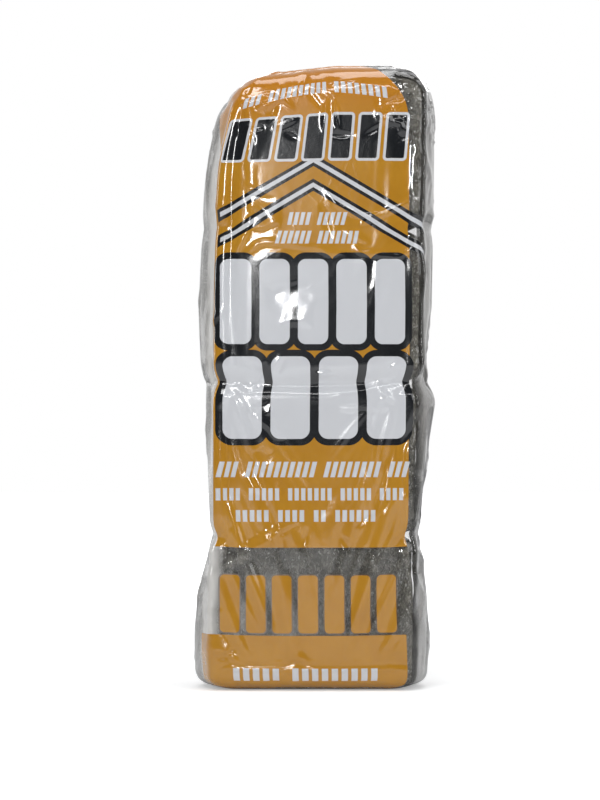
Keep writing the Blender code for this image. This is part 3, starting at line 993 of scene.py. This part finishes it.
# Ochre fields: middle and half size. The upper one widens at the left shoulder and curves at the top right
UPPER_FIELD = ((-0.0106, 0.2125), (0.0594, 0.1380))
LOWER_FIELD = ((-0.0095, -0.0005), (0.0565, 0.0295))
FIELD_CORNER = 0.0005
FIELD_LEFT = -0.0530
FIELD_LEFT_WIDER = 0.0150
FIELD_LEFT_HEIGHTS = (0.276, 0.302)
FIELD_RIGHT = 0.0486
FIELD_RIGHT_CURVE = 18.0
FIELD_RIGHT_CURVE_HEIGHT = 0.296
TOP_TONE_HEIGHTS = (0.285, 0.335)

# Rows of blocks
WINDOW_BLOCKS = {
    "count": 7, "left": -0.0500, "right": 0.0425, "middle": 0.0452,
    "half_height": 0.0150, "gap": 0.0034, "corner": 0.0022,
}
FIVE_BLOCKS = {
    "count": 5, "left": -0.0490, "right": 0.0462, "middle": 0.2010,
    "half_height": 0.0220, "gap": 0.0042, "corner": 0.0042,
}
FOUR_BLOCKS = {
    "count": 4, "left": -0.0480, "right": 0.0470, "middle": 0.1515,
    "half_height": 0.0212, "gap": 0.0046, "corner": 0.0050,
}
TOP_BLOCKS = {
    "count": 7, "left": -0.0480, "right": 0.0470, "middle": 0.2862,
    "half_height": 0.0112, "gap": 0.0046, "corner": 0.0008, "lean": 0.10,
}
# Width and strength of the painted shadow edge round the window's blocks
WINDOW_SHADOW_WIDTH = 0.0006
WINDOW_SHADOW_SHARE = 0.8
TOP_BLOCK_EDGE = 0.0014
PANEL_EDGE = 0.0034

# Chevrons: black bands with a white core each
CHEVRON_PEAKS = (0.2612, 0.2742)
CHEVRON_PEAK_X = -0.0011
CHEVRON_MIDDLE_X = 0.0045
CHEVRON_SLOPE = 0.594
CHEVRON_BAND = (0.0032, 0.0550)
CHEVRON_CORE = (0.0012, 0.0535)

# Rows of small marks: left end, marks in each group, lower and upper edge, pitch and lean
CROWN_MARKS = (-0.0440, (3, 10, 8), 0.3092, 0.3150, 0.0036, 0.0)
CROWN_CURVE = 2.4
CROWN_MIDDLE_X = -0.002
MARK_ROWS = (
    (-0.0155, (4, 5), 0.2405, 0.2470, 0.0031, 0.25),
    (-0.0217, (6, 7), 0.2310, 0.2375, 0.0031, 0.25),
    (-0.0520, (3, 10, 8, 3), 0.1105, 0.1185, 0.0037, 0.25),
    (-0.0520, (4, 5, 7, 5, 4), 0.0985, 0.1048, 0.0034, 0.0),
    (-0.0420, (5, 4, 2, 6), 0.0875, 0.0935, 0.0037, 0.0),
    (-0.0440, (5, 9), 0.0050, 0.0118, 0.0051, 0.0),
)
MARK_HALF_GAP = 0.32

# Milky stretches of film, by distance from the front's middle: where each begins and is full
LEFT_SIDE = (0.0470, 0.0530)
RIGHT_SIDE = (0.0535, 0.0600)
SIDES_END = (0.112, 0.126)
LEFT_FRONT_END = (0.0600, 0.0680)
RIGHT_FRONT_END = (0.0740, 0.0820)
SIDE_MIDDLE = (0.064, 0.074)
SIDE_MIDDLE_END = (0.098, 0.108)
# Heights where the denser film at the upper right, painted darker as shade, begins and is full
TIGHT_SHADE_HEIGHTS = (0.222, 0.262)
HAZE_MOST = 0.9


class Print:
    """Distances to the print's plain shapes, on the film laid flat, in metres."""

    def __init__(self, make, x, z):
        self.make = make
        self.x = x
        self.z = z

    def block(self, centre, half_size, corner, along=None):
        """A block with round corners."""
        make = self.make
        across = abs((self.x if along is None else along) - centre[0]) - (half_size[0] - corner)
        upward = abs(self.z - centre[1]) - (half_size[1] - corner)
        outward = make.larger(across, 0.0) ** 2.0 + make.larger(upward, 0.0) ** 2.0
        return make.number("SQRT", outward) + make.smaller(make.larger(across, upward), 0.0) - corner

    def row(self, count, left, right, middle, half_height, gap, corner, lean=0.0):
        """Blocks side by side."""
        pitch = (right - left + gap) / count
        across = self.x - left + gap / 2
        if lean:
            across = across - (self.z - middle) * lean
        cell = self.make.number("FLOOR", across / pitch)
        cell = self.make.smaller(self.make.larger(cell, 0.0), count - 1.0)
        half_size = ((pitch - gap) / 2, half_height)
        return self.block((pitch / 2, middle), half_size, corner, across - cell * pitch)

    def marks(self, left, groups, low, high, pitch, lean, level=None):
        """A row of small upright marks in groups, with one mark's place left blank between groups."""
        level = self.z if level is None else level
        across = (self.x - left - (level - low) * lean) / pitch
        cells = sum(groups) + len(groups) - 1
        within = abs(across - cells / 2) - cells / 2
        mark = abs(across % 1.0 - 0.5) - MARK_HALF_GAP
        blanks = []
        at = 0
        for group in groups[:-1]:
            at += group + 1
            blanks.append(abs(across - (at - 0.5)) - 0.5)
        mark = self.make.larger(mark, -self.make.smaller(*blanks))
        tall = abs(level - (low + high) / 2) - (high - low) / 2
        return self.make.larger(self.make.larger(within, mark) * pitch, tall)

    def chevrons(self, half_width, reach):
        """Bands that rise to a peak in the middle of the front."""
        bands = []
        for peak in CHEVRON_PEAKS:
            height = self.z + abs(self.x - CHEVRON_PEAK_X) * CHEVRON_SLOPE - peak
            bands.append(self.make.larger(abs(height) - half_width, abs(self.x - CHEVRON_MIDDLE_X) - reach))
        return self.make.smaller(*bands)


def printed_inks(make, x, z):
    """Where each ink lies: ochre fields, a painted shadow edge round the window's blocks, black and white."""
    shapes = Print(make, x + (z - PRINT_TRUE_HEIGHT) * PRINT_LEAN, z)
    left_edge = FIELD_LEFT - make.rising(z, *FIELD_LEFT_HEIGHTS) * FIELD_LEFT_WIDER - shapes.x
    curve = make.larger(z - FIELD_RIGHT_CURVE_HEIGHT, 0.0) ** 2.0 * FIELD_RIGHT_CURVE
    upper = make.larger(shapes.block(*UPPER_FIELD, FIELD_CORNER), shapes.x + curve - FIELD_RIGHT, left_edge)
    lower = shapes.block(*LOWER_FIELD, FIELD_CORNER)
    window = shapes.row(**WINDOW_BLOCKS)
    ochre = make.larger(make.inside(upper), make.inside(lower), make.inside(window))
    # Painted shadow, just outside the window's blocks
    window_shadow = make.inside(window - WINDOW_SHADOW_WIDTH) * (1 - make.inside(window)) * WINDOW_SHADOW_SHARE

    big = make.smaller(shapes.row(**FIVE_BLOCKS), shapes.row(**FOUR_BLOCKS))
    panel = make.inside(big - PANEL_EDGE)
    top = shapes.row(**TOP_BLOCKS)
    top_black = make.inside(top)
    top_white = make.inside(top - TOP_BLOCK_EDGE)
    band = make.inside(shapes.chevrons(*CHEVRON_BAND))
    core = make.inside(shapes.chevrons(*CHEVRON_CORE))
    crown = z + (x - CROWN_MIDDLE_X) ** 2.0 * CROWN_CURVE
    marks = make.smaller(shapes.marks(*CROWN_MARKS, crown), *(shapes.marks(*row) for row in MARK_ROWS))

    black = make.larger(band * (1 - core) * (1 - top_white), panel, top_black)
    white = make.larger(core * (1 - panel) * (1 - top_white), top_white * (1 - top_black), make.inside(big))
    return ochre, window_shadow, black, make.larger(white, make.inside(marks))


def film_colour(make, plain, x, z, inks, tight_and_shaded):
    """Colours of the inks, and of the haze in the bare film, with painted light on its left and painted shade
    on its right and upper right.
    """
    ochre, window_shadow, black, white = inks
    tone = make.noise(plain, scale=42.0, detail=3.0, roughness=0.6)
    warm = make.blend(tone, OCHRE_DARK, OCHRE_LIGHT)
    warm = make.blend(make.rising(z, *TOP_TONE_HEIGHTS), warm, OCHRE_TOP)
    # Painted light and shade: the haze is lighter on the left, darker on the right and darker still at the
    # upper right
    bare = make.blend(make.rising(x, -0.02, 0.02), HAZE_PAINTED_LIGHT_LEFT, HAZE_PAINTED_SHADE_RIGHT)
    bare = make.blend(tight_and_shaded, bare, HAZE_PAINTED_SHADE_TIGHT)
    colour = make.blend(ochre, bare, warm)
    # Painted shadow round the window's blocks
    colour = make.blend(window_shadow, colour, WINDOW_BLOCK_SHADOW_PAINT)
    colour = make.blend(black, colour, BLACK_INK)
    return make.blend(white, colour, WHITE_INK)


def film_haze(make, plain, x, left_side, right_side, tight_and_shaded):
    """How milky the bare film is: thin over the front, denser at the sides, in soft upright wisps."""
    sides = make.larger(left_side, right_side) * (1 - make.rising(abs(x), *SIDES_END))
    left_front = left_side * (1 - make.rising(-x, *LEFT_FRONT_END))
    right_front = right_side * (1 - make.rising(x, *RIGHT_FRONT_END))
    upright = make.stretched(plain, (0, 0, 0), (1.0, 0.45, 1.0))
    leaning = make.stretched(plain, (0, 0, 0.2), (1.0, 0.30, 1.0))
    wisps = make.rising(make.noise(upright, scale=85.0, detail=3.0, roughness=0.6), 0.40, 0.72)
    milk = make.rising(make.noise(leaning, scale=60.0), 0.54, 0.76)
    middle = make.rising(abs(x), *SIDE_MIDDLE) * (1 - make.rising(abs(x), *SIDE_MIDDLE_END))
    front = milk * 0.30 + 0.06 + left_front * 0.46 + right_front * (tight_and_shaded * 0.26 + 0.24)
    return make.smaller(front + sides * (1 - middle * 0.60) * (wisps * 0.46 + 0.30), HAZE_MOST)


def film_relief(make, plain, covered):
    """Ripples, fine grain, and patches of crackle where the film is crumpled."""
    ripple = make.noise(plain, scale=95.0)
    grain = make.noise(plain, scale=640.0, detail=1.0)
    crackle = 1 - make.rising(make.cell_edges(plain, scale=150.0), 0.0, 0.10)
    crumpled = make.rising(make.noise(plain, scale=30.0, detail=1.0), 0.50, 0.66)
    height = ripple * 0.5 + grain * 0.13 + crackle * crumpled * (1 - covered * 0.7) * 0.5
    return make.node("ShaderNodeBump", Strength=0.22, Distance=0.0005, Height=height).outputs[0]


def printed_film(girth, reach, start):
    """Clear glossy film with its print: ochre fields, black and white blocks and plain small marks."""
    make = new_material("Printed clear film")
    flat = make.node("ShaderNodeUVMap", {"uv_map": "film"}).outputs[0]
    x = (make.axis(flat, 0) - 0.5) * girth
    z = make.axis(flat, 1) * reach + start
    plain = make.node("ShaderNodeCombineXYZ", X=x, Y=z).outputs[0]
    left_side = make.rising(-x, *LEFT_SIDE)
    right_side = make.rising(x, *RIGHT_SIDE)
    # Upper right: denser film, painted darker as shade
    tight_and_shaded = right_side * make.rising(z, *TIGHT_SHADE_HEIGHTS)
    inks = printed_inks(make, x, z)
    covered = make.larger(*inks)
    haze = film_haze(make, plain, x, left_side, right_side, tight_and_shaded)
    relief = film_relief(make, plain, covered)

    body = make.node("ShaderNodeBsdfPrincipled", Roughness=0.14, IOR=1.5, Normal=relief)
    make.feed(body.inputs["Base Color"], film_colour(make, plain, x, z, inks, tight_and_shaded))
    for socket, value in (("Coat Weight", 0.8), ("Coat Roughness", 0.05), ("Coat IOR", 1.5)):
        body.inputs[socket].default_value = value
    gloss = make.node("ShaderNodeBsdfAnisotropic", Roughness=0.06, Normal=relief)
    mirror = make.node("ShaderNodeFresnel", IOR=1.7, Normal=relief)
    clear = make.layer(mirror.outputs[0], make.node("ShaderNodeBsdfTransparent").outputs[0], gloss.outputs[0])
    return make.finish(make.layer(covered + (1 - covered) * haze, clear, body.outputs[0]))


# Build

film, girth, reach, start = new_sleeve()
core = new_core()
settle_film(film, core)
bpy.data.objects.remove(core, do_unlink=True)
fine = film.modifiers.new("Fine", "SUBSURF")
fine.levels = 1
fine.render_levels = 1
apply_modifiers(film)
move_points(film, press_shoulder(points_of(film)))
fold_front(film)
crinkle(film)
give_finish(film, printed_film(girth, reach, start))
make_active(film)
bpy.ops.object.shade_smooth()
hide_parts("film_sleeve")
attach(film, "root")

make_pads(steel_wool())

# Stage, light and camera

FLOOR_SIZE = 8
FLOOR_DROP = 0.0005
FLOOR_PAINT = (0.86, 0.86, 0.86, 1)
FLOOR_GLOW_REACH = (0.15, 0.9)
FLOOR_GLOW_NEAR = 0.35
FILL_LIGHT = 0.36
FILL_COLOUR = (0.97, 0.98, 1.0, 1)
PLAIN_WHITE = (1, 1, 1, 1)

# Lamps: name, place, where it points, width, height and power
LAMPS = (
    ("key_softbox", (-0.55, -1.5, 1.35), (0, 0, 0.18), 0.55, 0.55, 9.0),
    ("fill_softbox", (1.1, -1.3, 0.7), (0, 0, 0.15), 0.8, 0.8, 5.0),
    ("strip_light", (-0.18, -1.9, 0.42), (0, 0, 0.22), 0.10, 0.22, 3.2),
    ("high_strip", (0.1, -1.6, 1.0), (0, 0, 0.2), 1.3, 0.06, 3.2),
    ("left_strip", (-1.5, 0.20, 0.55), (0, 0, 0.16), 0.12, 0.8, 3.4),
    ("right_strip", (1.5, 0.20, 0.55), (0, 0, 0.16), 0.12, 0.8, 2.2),
    ("top_light", (0.1, -0.2, 1.5), (0, 0, 0.2), 0.7, 0.7, 6),
    ("back_light", (0.2, 1.6, 1.0), (0, 0, 0.2), 0.9, 0.9, 6),
)

CAMERA_DISTANCE = 1.9
CAMERA_SIDEWAYS = -0.0078
CAMERA_HEIGHT = 0.150
FRONT_Y = -0.034
FRAME_HEIGHT = 0.4137
SENSOR_SIZE = 36


def studio_floor():
    """Pale floor that keeps the pack's shadow and runs out into plain white."""
    make = new_material("Pale studio floor")
    away = Value(make, make.vector("LENGTH", make.place()).outputs["Value"])
    paint = make.node("ShaderNodeBsdfPrincipled", Roughness=0.9)
    paint.inputs["Base Color"].default_value = FLOOR_PAINT
    paint.inputs["Specular IOR Level"].default_value = 0.1
    glow = make.rising(away, *FLOOR_GLOW_REACH) * (1 - FLOOR_GLOW_NEAR) + FLOOR_GLOW_NEAR
    white = make.node("ShaderNodeEmission", Strength=make.seen_directly() * glow)
    both = make.feed_all(make.node("ShaderNodeAddShader"), (paint.outputs[0], white.outputs[0]))
    return make.finish(both.outputs[0])


def studio_world():
    """White where it is seen, dimmer in front of the pack where it is mirrored, and an even soft fill."""
    make = Recipe(bpy.data.worlds.new("Studio"))
    backward = make.axis(make.node("ShaderNodeTexCoord").outputs["Generated"], 1)
    fill = make.node("ShaderNodeBackground", Color=FILL_COLOUR, Strength=FILL_LIGHT)
    mirrored_strength = make.rising(backward, -0.3, 1.0) * 0.7 + 0.1
    mirrored = make.node("ShaderNodeBackground", Color=PLAIN_WHITE, Strength=mirrored_strength)
    white = make.node("ShaderNodeBackground", Color=PLAIN_WHITE, Strength=1.0)
    is_glossy = make.node("ShaderNodeLightPath").outputs["Is Glossy Ray"]
    unseen = make.layer(is_glossy, fill.outputs[0], mirrored.outputs[0])
    return make.finish(make.layer(make.seen_directly(), unseen, white.outputs[0]), "ShaderNodeOutputWorld")


def area_light(name, place, aim, width, height, power):
    lamp = bpy.data.lights.new(name, "AREA")
    lamp.shape = "RECTANGLE"
    lamp.size = width
    lamp.size_y = height
    lamp.energy = power
    holder = bpy.data.objects.new(name, lamp)
    holder.location = place
    holder.rotation_euler = (Vector(aim) - Vector(place)).to_track_quat("-Z", "Y").to_euler()
    bpy.context.scene.collection.objects.link(holder)


deselect()
bpy.ops.mesh.primitive_plane_add(size=FLOOR_SIZE, location=(0, 0, -FLOOR_DROP))
floor = bpy.context.object
floor.name = "studio_floor"
floor.data.materials.append(studio_floor())

for lamp in LAMPS:
    area_light(*lamp)
bpy.context.scene.world = studio_world()

lens = bpy.data.cameras.new("camera")
lens.lens = SENSOR_SIZE * CAMERA_DISTANCE / FRAME_HEIGHT
camera = bpy.data.objects.new("camera", lens)
camera.location = (CAMERA_SIDEWAYS, FRONT_Y - CAMERA_DISTANCE, CAMERA_HEIGHT)
camera.rotation_euler = (math.pi / 2, 0, 0)
bpy.context.scene.collection.objects.link(camera)
bpy.context.scene.camera = camera
bpy.context.scene.view_settings.view_transform = "Standard"
